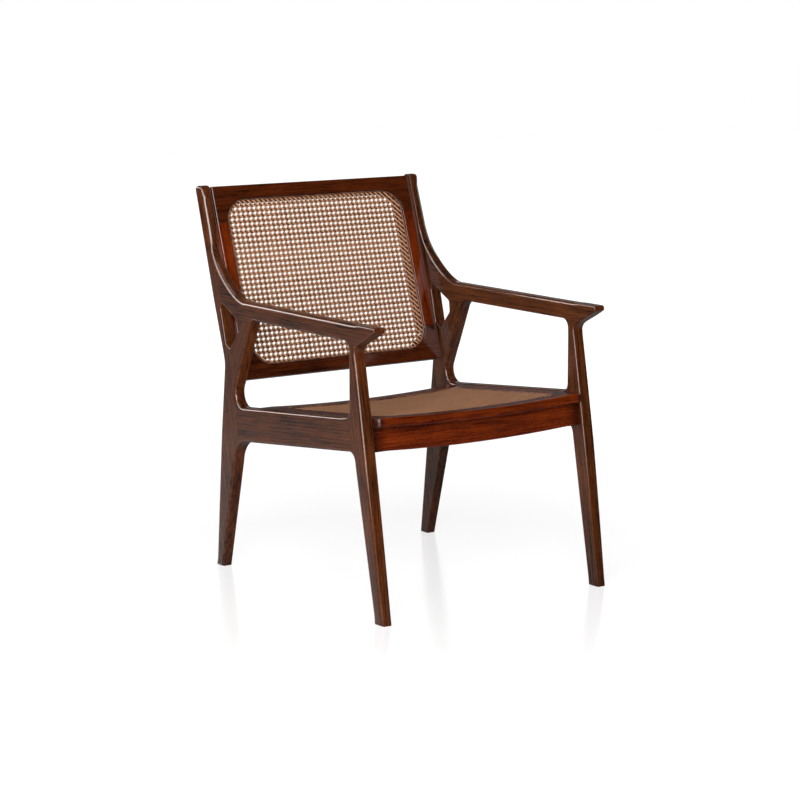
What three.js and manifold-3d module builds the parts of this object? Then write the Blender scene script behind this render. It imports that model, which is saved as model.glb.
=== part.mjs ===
// A wooden armchair with a cane seat and a cane back, in millimetres.
// X runs across the chair, the front looks along -Y, and Z is up.
// The origin is on the floor, under the middle of the chair's bounding box.
import * as THREE from 'three';
import { mergeVertices } from 'three/addons/utils/BufferGeometryUtils.js';
import Module from 'manifold-3d';

const wasm = await Module();
wasm.setup();

// Overall sizes; depths run back from the toe of the front foot
const overallDepth = 754;
const overallHeight = 873;
const innerWidth = 556.8;

// Side frames: boards that get thinner towards the feet and the post tops
const boardThickness = 29.8;
const footThickness = 24;
const postTopThickness = 25.4;
const footTaperHeight = 320;
const postTaperHeight = 620;
const boardEdge = 4;
const glueLine = 0.3;

// Front leg
const frontFootLength = 31;
const frontLegRun = 96.5;
const shoulderDrop = 60;
const shoulderDepth = 19;
const frontLegFillet = 22;
const frontLegBendShares = { along: 0.5, up: 0.562 };

// Back leg and post
const backFootLength = 27.5;
const backLegSplay = 56;
const kneeHeight = 481;
const kneeRound = 70;
const backLegFillet = 60;
const postRake = 18.4;
const postDepth = 27;
const postTopRound = 9;

// Arm
const armHeight = 629;
const armThickness = 39;
const noseSetback = 22;
const noseThickness = 11;
const noseRound = 5;
const flareShares = { firstAlong: 0.054, firstUp: 0.37, lastAlong: 0.295, lastUp: 0.37 };
const sweepHeightShare = 0.455;
const sweepReach = 145;
const sweepShares = { upper: 0.4, lower: 0.345, joint: 0.35 };

// Seat frame
const seatSlope = 5.455;
const seatSetback = 54;
const seatFrontHeight = 432;
const seatDepth = 479;
const seatFrameThickness = 20;
const seatRailDepth = 45;
const seatSideWidth = 37.4;
const seatDish = 7;
const seatCornerRound = 17;
const seatOpeningRound = 26;

// Side rail
const railRise = 2.5;
const railStart = 99.6;
const railEndReach = 47.6;
const railHeightFront = 72.8;
const railHeightRear = 78.2;

// Window under the arm, with the brace behind it
const heelReach = 27.1;
const braceHeadReach = 151.7;
const windowFrontRound = 20;
const windowRailRound = 18;
const windowHeelRound = 30;
const windowBraceRound = 28;
const braceFootShare = 0.4214;

// Six-sided eye between the brace, the arm and the post: its corners' heights are shares of the way
// up from the window's heel to the arm's top, and their reaches are taken from the back of the post
const eyeHeightShares = { top: 0.9513, head: 0.8133, front: 0.7077, toe: 0.5413, heel: 0.5819, back: 0.8985 };
const eyeTopReach = 35.8;
const eyeHeadReach = 92.5;
const eyeFrontReach = 86.9;
const eyeToeReach = 37.2;
const eyeHeelReach = 20.6;
const eyeBackReach = 26.5;
const eyeFrontRound = 8;
const eyeCornerRound = 3;

// Caned back panel, raked like the posts and flush with their backs; a tongue fills the gap beside it
const panelThickness = 21.8;
const panelGap = 6.8;
const panelTongue = 8;
const panelDrop = 2.3;
const panelFootHeight = 436;
const panelTopRail = 31;
const panelBottomRail = 28;
const panelStileWidth = 28.1;
const panelOpeningRound = 55;
const panelEdge = 1.5;
const jointClearance = 1;

// Cane webbing, the rebate that it lies in and the spline that holds it
const rebateWidth = 9;
const rebateDepth = 5.2;
const caneThickness = 1.6;
const splineWidth = 5.2;
const splineHeight = 2.7;
const canePitch = 31.6;
const caneGap = 19;
const caneMargin = 1.5;

// Aprons under the seat, the blocks that tie them to the side rails, and their screws
const apronThickness = 20;
const apronSetback = 21;
const frontApronHeight = 52;
const rearApronHeight = 44;
const blockLeg = 58;
const blockThickness = 22;
const screwShank = 4.5;
const screwHead = 9;
const screwHeadHeight = 3;
const screwBite = 11;
const screwBore = 5.2;

// Steps of the drawn curves
const arcSteps = 5;
const curveSteps = 8;
const legSteps = 5;
const dishSteps = 8;
const boardEdgeSteps = 2;
const panelEdgeSteps = 1;
const screwSides = 12;
const overrun = 6;

// Finishes
const wood = { color: 0x5a2412, roughness: 0.32, metalness: 0 };
const brightWood = { color: 0x7a3312, roughness: 0.32, metalness: 0 };
const darkWood = { color: 0x45190d, roughness: 0.35, metalness: 0 };
const webbing = { color: 0xb98c6e, roughness: 0.62, metalness: 0 };
const reed = { color: 0x6b4030, roughness: 0.5, metalness: 0 };
const brass = { color: 0xb08d4a, roughness: 0.35, metalness: 1 };

const innerHalf = innerWidth / 2;
const rakeSlope = Math.tan(THREE.MathUtils.degToRad(postRake));
const dropSlope = Math.tan(THREE.MathUtils.degToRad(seatSlope));

// Solids and meshes

function solidOf(geometry) {
  geometry.deleteAttribute('normal');
  geometry.deleteAttribute('uv');
  const welded = mergeVertices(geometry);
  const mesh = new wasm.Mesh({
    numProp: 3,
    vertProperties: new Float32Array(welded.attributes.position.array),
    triVerts: new Uint32Array(welded.index.array),
  });
  return new wasm.Manifold(mesh);
}

function geometryOf(solid) {
  const mesh = solid.getMesh();
  const geometry = new THREE.BufferGeometry();
  geometry.setAttribute('position', new THREE.BufferAttribute(new Float32Array(mesh.vertProperties), 3));
  geometry.setIndex(new THREE.BufferAttribute(new Uint32Array(mesh.triVerts), 1));
  geometry.computeVertexNormals();
  return geometry;
}

function addPiece(group, name, solid, finish) {
  const mesh = new THREE.Mesh(geometryOf(solid), new THREE.MeshStandardMaterial(finish));
  mesh.name = name;
  group.add(mesh);
}

// Outlines: each corner has a point and the radius that rounds it

function corner(x, y, round = 0) {
  return { point: new THREE.Vector2(x, y), round };
}

function arcAt(before, here, after) {
  const toBefore = before.point.clone().sub(here.point).normalize();
  const toAfter = after.point.clone().sub(here.point).normalize();
  const half = Math.acos(toBefore.dot(toAfter)) / 2;
  const reach = here.round / Math.tan(half);
  const start = here.point.clone().addScaledVector(toBefore, reach);
  const end = here.point.clone().addScaledVector(toAfter, reach);
  const inward = toBefore.add(toAfter).normalize();
  const centre = here.point.clone().addScaledVector(inward, here.round / Math.sin(half));
  const middle = centre.clone().addScaledVector(inward, -here.round);
  return { start, end, centre, middle };
}

function arcIn(corners, here) {
  const i = corners.indexOf(here);
  const before = corners[(i + corners.length - 1) % corners.length];
  const after = corners[(i + 1) % corners.length];
  return arcAt(before, here, after);
}

function outlinePoints(corners) {
  const points = [];
  for (const here of corners) {
    if (here.round === 0) {
      points.push(here.point.clone());
      continue;
    }
    const arc = arcIn(corners, here);
    const from = arc.start.clone().sub(arc.centre).angle();
    const to = arc.end.clone().sub(arc.centre).angle();
    const turn = THREE.MathUtils.euclideanModulo(to - from + Math.PI, 2 * Math.PI) - Math.PI;
    for (let k = 0; k <= arcSteps; k += 1) {
      const angle = from + (turn * k) / arcSteps;
      const spoke = new THREE.Vector2(Math.cos(angle), Math.sin(angle));
      points.push(arc.centre.clone().addScaledVector(spoke, here.round));
    }
  }
  return points;
}

function curveCorners(curve, steps) {
  return curve.getPoints(steps).map((p) => corner(p.x, p.y));
}

// A rounded rectangle, centred across the chair
function windowCorners(halfWidth, low, high, round) {
  return [
    corner(-halfWidth, low, round),
    corner(halfWidth, low, round),
    corner(halfWidth, high, round),
    corner(-halfWidth, high, round),
  ];
}

function insideWindow(x, y, halfWidth, low, high, round) {
  const middle = (low + high) / 2;
  const acrossPast = Math.abs(x) - (halfWidth - round);
  const alongPast = Math.abs(y - middle) - ((high - low) / 2 - round);
  if (acrossPast > 0 && alongPast > 0) {
    return Math.hypot(acrossPast, alongPast) < round;
  }
  return acrossPast < round && alongPast < round;
}

function prism(outline, holes, low, high) {
  const shape = new THREE.Shape(outline);
  shape.holes = holes.map((points) => new THREE.Path(points));
  const geometry = new THREE.ExtrudeGeometry(shape, { depth: high - low, bevelEnabled: false });
  geometry.translate(0, 0, low);
  return solidOf(geometry);
}

function softPrism(outline, holes, thickness, edge, steps) {
  const shape = new THREE.Shape(outline);
  shape.holes = holes.map((points) => new THREE.Path(points));
  const geometry = new THREE.ExtrudeGeometry(shape, {
    depth: thickness - 2 * edge,
    bevelThickness: edge,
    bevelSize: edge,
    bevelOffset: -edge,
    bevelSegments: steps,
  });
  geometry.translate(0, 0, edge);
  return geometry;
}

// A saw cut between two points of a profile, run past both of them
function sawCut(from, to, low, high) {
  const along = to.clone().sub(from).normalize();
  const across = new THREE.Vector2(-along.y, along.x).multiplyScalar(glueLine / 2);
  const start = from.clone().addScaledVector(along, -overrun);
  const end = to.clone().addScaledVector(along, overrun);
  const outline = [
    start.clone().sub(across),
    end.clone().sub(across),
    end.clone().add(across),
    start.clone().add(across),
  ];
  return prism(outline, [], low, high);
}

// Splits a blank along its saw cuts, and names each part after the nearest place
function splitBlank(blank, cuts, places, low, high) {
  const kerfs = cuts.map(([from, to]) => sawCut(from, to, low - overrun, high + overrun));
  let rest = blank;
  for (const kerf of kerfs) {
    rest = rest.subtract(kerf);
  }
  const named = {};
  for (const part of rest.decompose()) {
    const box = part.boundingBox();
    const centre = new THREE.Vector2((box.min[0] + box.max[0]) / 2, (box.min[1] + box.max[1]) / 2);
    const names = Object.keys(places);
    names.sort((a, b) => places[a].distanceTo(centre) - places[b].distanceTo(centre));
    named[names[0]] = part;
  }
  return named;
}

// Side frame profile: the first coordinate runs back, the second one up

const backOfPost = (height) => overallDepth - (overallHeight - height) * rakeSlope;
const seatTopAt = (depth) => seatFrontHeight - (depth - seatSetback) * dropSlope;
const railTopAt = (depth) => seatTopAt(depth) + railRise;
const shoulderHeight = armHeight - shoulderDrop;
const shoulder = new THREE.Vector2(frontLegRun, shoulderHeight);

function sideProfile() {
  const kneeDepth = backOfPost(kneeHeight);
  const backToe = kneeDepth + backLegSplay;
  const armUnder = armHeight - armThickness;
  const noseUnder = armHeight - noseThickness;
  const flareRun = frontLegRun - noseSetback;
  const flareRise = noseUnder - shoulderHeight;
  const sweepDrop = sweepHeightShare * (overallHeight - armHeight);
  const sweepHeight = armHeight + sweepDrop;
  const sweepTop = new THREE.Vector2(backOfPost(sweepHeight) - postDepth, sweepHeight);
  const sweepEnd = sweepTop.x - sweepReach;
  const sweep = new THREE.CubicBezierCurve(
    sweepTop,
    new THREE.Vector2(
      sweepTop.x - sweepShares.upper * sweepDrop * rakeSlope,
      sweepHeight - sweepShares.upper * sweepDrop,
    ),
    new THREE.Vector2(sweepEnd + sweepShares.lower * sweepReach, armHeight),
    new THREE.Vector2(sweepEnd, armHeight),
  );
  const flare = new THREE.CubicBezierCurve(
    new THREE.Vector2(noseSetback, noseUnder),
    new THREE.Vector2(
      frontLegRun - flareShares.lastAlong * flareRun,
      shoulderHeight + flareShares.lastUp * flareRise,
    ),
    new THREE.Vector2(
      frontLegRun - flareShares.firstAlong * flareRun,
      shoulderHeight + flareShares.firstUp * flareRise,
    ),
    shoulder,
  );
  const shin = new THREE.QuadraticBezierCurve(
    shoulder,
    new THREE.Vector2(frontLegBendShares.along * frontLegRun, frontLegBendShares.up * shoulderHeight),
    new THREE.Vector2(0, 0),
  );
  const railEnd = kneeDepth - railEndReach;
  const railFront = corner(railStart, railTopAt(railStart) - railHeightFront, frontLegFillet);
  const railRear = corner(railEnd, railTopAt(railEnd) - railHeightRear, backLegFillet);
  const outline = [
    corner(frontFootLength, 0),
    railFront,
    railRear,
    corner(backToe - backFootLength, 0),
    corner(backToe, 0),
    corner(kneeDepth, kneeHeight, kneeRound),
    corner(backOfPost(overallHeight), overallHeight, postTopRound),
    corner(backOfPost(overallHeight) - postDepth, overallHeight, postTopRound),
    ...curveCorners(sweep, curveSteps),
    corner(noseSetback, armHeight, noseRound),
    ...curveCorners(flare, curveSteps),
    ...curveCorners(shin, legSteps).slice(1),
  ];

  const windowFront = frontLegRun + shoulderDepth;
  const windowRear = kneeDepth - heelReach;
  const window = [
    corner(windowFront, armUnder, windowFrontRound),
    corner(windowFront, railTopAt(windowFront), windowRailRound),
    corner(windowRear, railTopAt(windowRear), windowHeelRound),
    corner(backOfPost(armUnder) - braceHeadReach, armUnder, windowBraceRound),
  ];
  const eyeCorner = (heightShare, reach, round) => {
    const height = THREE.MathUtils.lerp(railTopAt(windowRear), armHeight, heightShare);
    return corner(backOfPost(height) - reach, height, round);
  };
  const eye = [
    eyeCorner(eyeHeightShares.top, eyeTopReach, eyeCornerRound),
    eyeCorner(eyeHeightShares.head, eyeHeadReach, eyeFrontRound),
    eyeCorner(eyeHeightShares.front, eyeFrontReach, eyeFrontRound),
    eyeCorner(eyeHeightShares.toe, eyeToeReach, eyeCornerRound),
    eyeCorner(eyeHeightShares.heel, eyeHeelReach, eyeCornerRound),
    eyeCorner(eyeHeightShares.back, eyeBackReach, eyeCornerRound),
  ];

  const wall = window[3].point.clone().sub(window[2].point);
  const armJoint = arcIn(window, window[0]).middle;
  const cuts = [
    [new THREE.Vector2(noseSetback, armJoint.y), armJoint],
    [arcIn(window, window[1]).middle, arcIn(outline, railFront).middle],
    [arcIn(window, window[2]).middle, arcIn(outline, railRear).middle],
    [window[2].point.clone().addScaledVector(wall, braceFootShare), arcIn(eye, eye[3]).middle],
    [arcIn(window, window[3]).middle, arcIn(eye, eye[1]).middle],
    [arcIn(eye, eye[0]).middle, sweep.getPoint(sweepShares.joint)],
  ];
  const railMiddle = (railStart + railEnd) / 2;
  const places = {
    front_leg: new THREE.Vector2(frontLegRun / 2, shoulderHeight / 2),
    side_rail: new THREE.Vector2(railMiddle, railTopAt(railMiddle) - railHeightFront / 2),
    back_leg: new THREE.Vector2(kneeDepth, kneeHeight),
    brace: window[3].point.clone().addScaledVector(wall, -1 / 2).add(eye[2].point).multiplyScalar(1 / 2),
    arm: new THREE.Vector2(sweepEnd / 2, armHeight),
  };
  return { outline, window, eye, cuts, places };
}

function boardThicknessAt(height) {
  const low = Math.min(height / footTaperHeight, 1);
  const high = Math.max((height - postTaperHeight) / (overallHeight - postTaperHeight), 0);
  const thinnedLow = (boardThickness - footThickness) * (1 - low);
  return boardThickness - thinnedLow - (boardThickness - postTopThickness) * high;
}

// Both side frames are one board each, rounded all round, tapered on the outside and sawn into members
function addSideFrames(group) {
  const profile = sideProfile();
  const holes = [outlinePoints(profile.window), outlinePoints(profile.eye)];
  const outline = outlinePoints(profile.outline);
  const board = softPrism(outline, holes, boardThickness, boardEdge, boardEdgeSteps);
  const position = board.attributes.position;
  for (let i = 0; i < position.count; i += 1) {
    const share = boardThicknessAt(position.getY(i)) / boardThickness;
    position.setZ(i, position.getZ(i) * share);
  }
  const members = splitBlank(solidOf(board), profile.cuts, profile.places, 0, boardThickness);
  for (const [name, member] of Object.entries(members)) {
    const right = member.rotate([90, 0, 90]).translate([innerHalf, 0, 0]);
    addPiece(group, `right_${name}`, right, wood);
    addPiece(group, `left_${name}`, right.mirror([1, 0, 0]), wood);
  }
}

// The gaps of a cane sheet inside a rounded window
function caneHoles(halfWidth, low, high, round) {
  const middle = (low + high) / 2;
  const columns = Math.floor((2 * halfWidth - caneGap) / canePitch) + 1;
  const rows = Math.floor((high - low - caneGap) / canePitch) + 1;
  const half = caneGap / 2;
  const holes = [];
  for (let row = 0; row < rows; row += 1) {
    for (let column = 0; column < columns; column += 1) {
      const x = (column - (columns - 1) / 2) * canePitch;
      const y = middle + (row - (rows - 1) / 2) * canePitch;
      if (insideWindow(Math.abs(x) + half, y + Math.sign(y - middle) * half, halfWidth, low, high, round)) {
        holes.push([
          new THREE.Vector2(x - half, y - half),
          new THREE.Vector2(x + half, y - half),
          new THREE.Vector2(x + half, y + half),
          new THREE.Vector2(x - half, y + half),
        ]);
      }
    }
  }
  return holes;
}

// A cane sheet between two heights, with a gap cut for each hole
function netPrism(outline, gaps, low, high) {
  const plugs = gaps.map((gap) => prism(gap, [], low - overrun, high + overrun));
  return prism(outline, [], low, high).subtract(wasm.Manifold.union(plugs));
}

// Outlines of a caned frame: the visible window, the through hole, the sheet and the spline
function caneOutlines(halfWidth, low, high, round) {
  const inset = (by) => {
    const corners = windowCorners(halfWidth - by, low + by, high - by, round - by);
    return outlinePoints(corners);
  };
  const splineInner = glueLine + splineWidth;
  const netInset = splineInner + caneMargin;
  return {
    window: inset(0),
    through: inset(rebateWidth),
    sheet: inset(glueLine),
    splineHole: inset(splineInner),
    gaps: caneHoles(halfWidth - netInset, low + netInset, high - netInset, round - netInset),
  };
}

// Back panel, drawn with its first coordinate across and its second one up the rake

function addBackPanel(group) {
  const rake = THREE.MathUtils.degToRad(postRake);
  const panelRise = overallHeight - panelDrop - panelFootHeight;
  const panelLength = (panelRise - panelThickness * Math.sin(rake)) / Math.cos(rake);
  const panelHalf = innerHalf - panelGap;
  const low = panelBottomRail;
  const high = panelLength - panelTopRail;
  const halfWidth = panelHalf - panelStileWidth;
  const outlines = caneOutlines(halfWidth, low, high, panelOpeningRound);
  const outer = outlinePoints(windowCorners(panelHalf, 0, panelLength, 0));
  const floor = panelThickness - rebateDepth;
  const rebate = prism(outlines.window, [], floor, panelThickness + overrun);
  const board = softPrism(outer, [outlines.through], panelThickness, panelEdge, panelEdgeSteps);
  const tongueLow = (panelThickness - panelTongue) / 2;
  const tongueOuter = outlinePoints(windowCorners(innerHalf, 0, panelLength, 0));
  const tongue = prism(tongueOuter, [outlines.window], tongueLow, tongueLow + panelTongue);
  const blank = solidOf(board).add(tongue).subtract(rebate);

  const topJoint = high - panelOpeningRound - jointClearance;
  const bottomJoint = low + panelOpeningRound + jointClearance;
  const cuts = [];
  for (const side of [-1, 1]) {
    for (const joint of [topJoint, bottomJoint]) {
      const inside = new THREE.Vector2(side * (halfWidth - rebateWidth), joint);
      cuts.push([inside, new THREE.Vector2(side * innerHalf, joint)]);
    }
  }
  const middle = (low + high) / 2;
  const places = {
    back_top_rail: new THREE.Vector2(0, panelLength),
    back_bottom_rail: new THREE.Vector2(0, 0),
    back_stile_left: new THREE.Vector2(-halfWidth, middle),
    back_stile_right: new THREE.Vector2(halfWidth, middle),
  };
  const panel = new THREE.Group();
  const members = splitBlank(blank, cuts, places, 0, panelThickness);
  for (const [name, member] of Object.entries(members)) {
    addPiece(panel, name, member, name.includes('stile') ? brightWood : darkWood);
  }
  const sheetLow = floor + glueLine;
  const sheetHigh = sheetLow + caneThickness;
  addPiece(panel, 'back_cane', netPrism(outlines.sheet, outlines.gaps, sheetLow, sheetHigh), webbing);
  const splineLow = sheetHigh + glueLine;
  const spline = prism(outlines.sheet, [outlines.splineHole], splineLow, splineLow + splineHeight);
  addPiece(panel, 'back_spline', spline, reed);
  panel.rotation.x = Math.PI / 2 - rake;
  panel.position.set(0, backOfPost(panelFootHeight), panelFootHeight);
  group.add(panel);
}

// Seat, drawn in its own slope: the first coordinate across, the second one back, the third one up

const dishHalf = innerHalf - seatSideWidth;

function dishAt(x) {
  const share = Math.min(Math.abs(x) / dishHalf, 1);
  return -seatDish * (1 - share * share);
}

// A layer that follows the dish of the seat, between two heights over its edge
function dishLayer(low, high) {
  const end = innerHalf + overrun;
  const across = [-end];
  for (let i = 0; i <= dishSteps; i += 1) {
    across.push(((2 * i) / dishSteps - 1) * dishHalf);
  }
  across.push(end);
  const under = across.map((x) => new THREE.Vector2(x, low + dishAt(x)));
  const over = across.map((x) => new THREE.Vector2(x, high + dishAt(x))).reverse();
  const layer = prism([...under, ...over], [], -overrun, seatDepth + overrun);
  return layer.rotate([90, 0, 0]).translate([0, seatDepth, 0]);
}

function dished(outline, holes, low, high) {
  const tall = prism(outline, holes, low - seatDish - overrun, high + overrun);
  return tall.intersect(dishLayer(low, high));
}

function dishedNet(outline, gaps, low, high) {
  const tall = netPrism(outline, gaps, low - seatDish - overrun, high + overrun);
  return tall.intersect(dishLayer(low, high));
}

function boxOutline(left, right, front, rear) {
  return [
    new THREE.Vector2(left, front),
    new THREE.Vector2(right, front),
    new THREE.Vector2(right, rear),
    new THREE.Vector2(left, rear),
  ];
}

function pin(radius, low, high, x, y) {
  const geometry = new THREE.CylinderGeometry(radius, radius, high - low, screwSides);
  geometry.rotateX(Math.PI / 2);
  geometry.translate(x, y, (low + high) / 2);
  return solidOf(geometry);
}

function addSeat(group) {
  const low = seatRailDepth;
  const high = seatDepth - seatRailDepth;
  const outlines = caneOutlines(dishHalf, low, high, seatOpeningRound);
  const outer = outlinePoints([
    corner(-innerHalf, 0, seatCornerRound),
    corner(innerHalf, 0, seatCornerRound),
    corner(innerHalf, seatDepth),
    corner(-innerHalf, seatDepth),
  ]);
  const rebate = dished(outlines.window, [], -rebateDepth, overrun);
  let blank = dished(outer, [outlines.through], -seatFrameThickness, 0).subtract(rebate);

  const underFrame = -seatFrameThickness - glueLine;
  const frontApronRear = apronSetback + apronThickness;
  const rearApronRear = seatDepth - apronSetback;
  const rearApronFront = rearApronRear - apronThickness;
  const screwInset = innerHalf - blockLeg / 3;
  const blockUnder = underFrame - blockThickness;
  const blocks = [];
  for (const end of ['front', 'rear']) {
    const isFront = end === 'front';
    const wall = isFront ? frontApronRear + glueLine : rearApronFront - glueLine;
    const tip = isFront ? wall + blockLeg : wall - blockLeg;
    const screwAt = isFront ? wall + blockLeg / 3 : wall - blockLeg / 3;
    for (const side of ['left', 'right']) {
      const sign = side === 'left' ? -1 : 1;
      blocks.push({ end, side, sign, wall, tip, x: sign * screwInset, y: screwAt });
    }
  }
  for (const block of blocks) {
    const bore = pin(screwBore / 2, underFrame, -seatFrameThickness + screwBite + glueLine, block.x, block.y);
    blank = blank.subtract(bore);
  }

  const seat = new THREE.Group();
  const frontJoint = low + seatOpeningRound + jointClearance;
  const rearJoint = high - seatOpeningRound - jointClearance;
  const cuts = [];
  for (const side of [-1, 1]) {
    for (const joint of [frontJoint, rearJoint]) {
      const inside = new THREE.Vector2(side * (dishHalf - rebateWidth), joint);
      cuts.push([inside, new THREE.Vector2(side * innerHalf, joint)]);
    }
  }
  const places = {
    seat_front_rail: new THREE.Vector2(0, 0),
    seat_rear_rail: new THREE.Vector2(0, seatDepth),
    seat_side_left: new THREE.Vector2(-dishHalf, seatDepth / 2),
    seat_side_right: new THREE.Vector2(dishHalf, seatDepth / 2),
  };
  const members = splitBlank(blank, cuts, places, -seatFrameThickness - seatDish, 0);
  for (const [name, member] of Object.entries(members)) {
    addPiece(seat, name, member, brightWood);
  }

  const sheetLow = glueLine - rebateDepth;
  const sheetHigh = sheetLow + caneThickness;
  addPiece(seat, 'seat_cane', dishedNet(outlines.sheet, outlines.gaps, sheetLow, sheetHigh), webbing);
  const splineLow = sheetHigh + glueLine;
  const spline = dished(outlines.sheet, [outlines.splineHole], splineLow, splineLow + splineHeight);
  addPiece(seat, 'seat_spline', spline, reed);

  const frontApron = boxOutline(-innerHalf, innerHalf, apronSetback, frontApronRear);
  addPiece(seat, 'front_apron', dished(frontApron, [], underFrame - frontApronHeight, underFrame), brightWood);
  const rearApron = boxOutline(-innerHalf, innerHalf, rearApronFront, rearApronRear);
  addPiece(seat, 'rear_apron', dished(rearApron, [], underFrame - rearApronHeight, underFrame), wood);

  for (const block of blocks) {
    const outerEdge = block.sign * innerHalf;
    const triangle = [
      new THREE.Vector2(outerEdge, block.wall),
      new THREE.Vector2(outerEdge - block.sign * blockLeg, block.wall),
      new THREE.Vector2(outerEdge, block.tip),
    ];
    const bore = pin(screwBore / 2, blockUnder - overrun, underFrame + overrun, block.x, block.y);
    const solid = dished(triangle, [], blockUnder, underFrame).subtract(bore);
    addPiece(seat, `corner_block_${block.end}_${block.side}`, solid, wood);
    const headTop = blockUnder - glueLine;
    const head = pin(screwHead / 2, headTop - screwHeadHeight, headTop, block.x, block.y);
    const shankTop = -seatFrameThickness + screwBite;
    const shank = pin(screwShank / 2, headTop - screwHeadHeight / 2, shankTop, block.x, block.y);
    addPiece(seat, `screw_${block.end}_${block.side}`, head.add(shank), brass);
  }
  seat.rotation.x = -THREE.MathUtils.degToRad(seatSlope);
  seat.position.set(0, seatSetback, seatFrontHeight);
  group.add(seat);
}

const chair = new THREE.Group();
addSideFrames(chair);
addBackPanel(chair);
addSeat(chair);
const span = new THREE.Box3().setFromObject(chair, true);
chair.position.y = -(span.min.y + span.max.y) / 2;

export default chair;
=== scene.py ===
"""A fixed armchair of dark lacquered hardwood with a cane seat and back, dressed over its CAD model."""

import cmath
import math
import random
from types import SimpleNamespace

import bmesh
import bpy
from bpy.props import FloatProperty, FloatVectorProperty, PointerProperty
from mathutils import Matrix, Vector


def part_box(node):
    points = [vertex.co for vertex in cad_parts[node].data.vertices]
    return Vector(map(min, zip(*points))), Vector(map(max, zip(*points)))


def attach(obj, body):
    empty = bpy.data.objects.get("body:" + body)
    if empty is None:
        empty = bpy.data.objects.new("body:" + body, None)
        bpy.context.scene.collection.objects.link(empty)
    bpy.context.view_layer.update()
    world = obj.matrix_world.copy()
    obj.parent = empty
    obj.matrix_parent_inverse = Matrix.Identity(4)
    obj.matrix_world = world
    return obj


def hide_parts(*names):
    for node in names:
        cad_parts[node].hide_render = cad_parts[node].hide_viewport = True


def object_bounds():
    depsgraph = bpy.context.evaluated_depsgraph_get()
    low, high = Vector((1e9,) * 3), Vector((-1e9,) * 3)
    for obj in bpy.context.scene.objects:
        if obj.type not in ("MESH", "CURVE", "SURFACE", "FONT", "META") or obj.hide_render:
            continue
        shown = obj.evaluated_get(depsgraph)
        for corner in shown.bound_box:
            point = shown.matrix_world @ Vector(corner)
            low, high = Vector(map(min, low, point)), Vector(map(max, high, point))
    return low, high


bl_info = {
    "name": "Cane armchair",
    "version": (1, 0, 0),
    "blender": (4, 5, 0),
    "location": "View3D > Sidebar > Cane armchair",
    "description": "Builds a lacquered armchair with a cane seat and back, piece by piece",
    "category": "Add Mesh",
}

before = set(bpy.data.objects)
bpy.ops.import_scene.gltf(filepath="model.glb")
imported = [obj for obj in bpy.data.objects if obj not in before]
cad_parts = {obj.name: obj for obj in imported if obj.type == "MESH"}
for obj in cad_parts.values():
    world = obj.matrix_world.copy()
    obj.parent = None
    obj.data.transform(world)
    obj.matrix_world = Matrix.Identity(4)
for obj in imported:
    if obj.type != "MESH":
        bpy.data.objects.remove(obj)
CAD_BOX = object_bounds()
MM = 0.001
# Two points closer than this, in metres, are one
SAME_PLACE = 1e-6
# Inner face of the right side frame, toe of its front foot, and floor
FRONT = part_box("right_front_leg")[0]
TOP = CAD_BOX[1].z
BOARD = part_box("right_arm")[1].x - FRONT.x


def linear(hexadecimal):
    """The linear colour of an sRGB hex value."""
    parts = [int(hexadecimal[i : i + 2], 16) / 255 for i in (0, 2, 4)]
    return tuple(c / 12.92 if c <= 0.04045 else ((c + 0.055) / 1.055) ** 2.4 for c in parts)


def length(name, description, default):
    """A length in metres that the user can change."""
    return FloatProperty(
        name=name, description=description, default=default, min=0.0, unit="LENGTH", precision=4
    )


def angle(name, description, degrees):
    """An angle that the user can change."""
    return FloatProperty(name=name, description=description, default=math.radians(degrees), subtype="ANGLE")


def colour(name, description, hexadecimal):
    """A colour that the user can change."""
    default = linear(hexadecimal)
    return FloatVectorProperty(
        name=name, description=description, default=default, size=3, min=0.0, max=1.0, subtype="COLOR"
    )


# Sizes and colours


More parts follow.
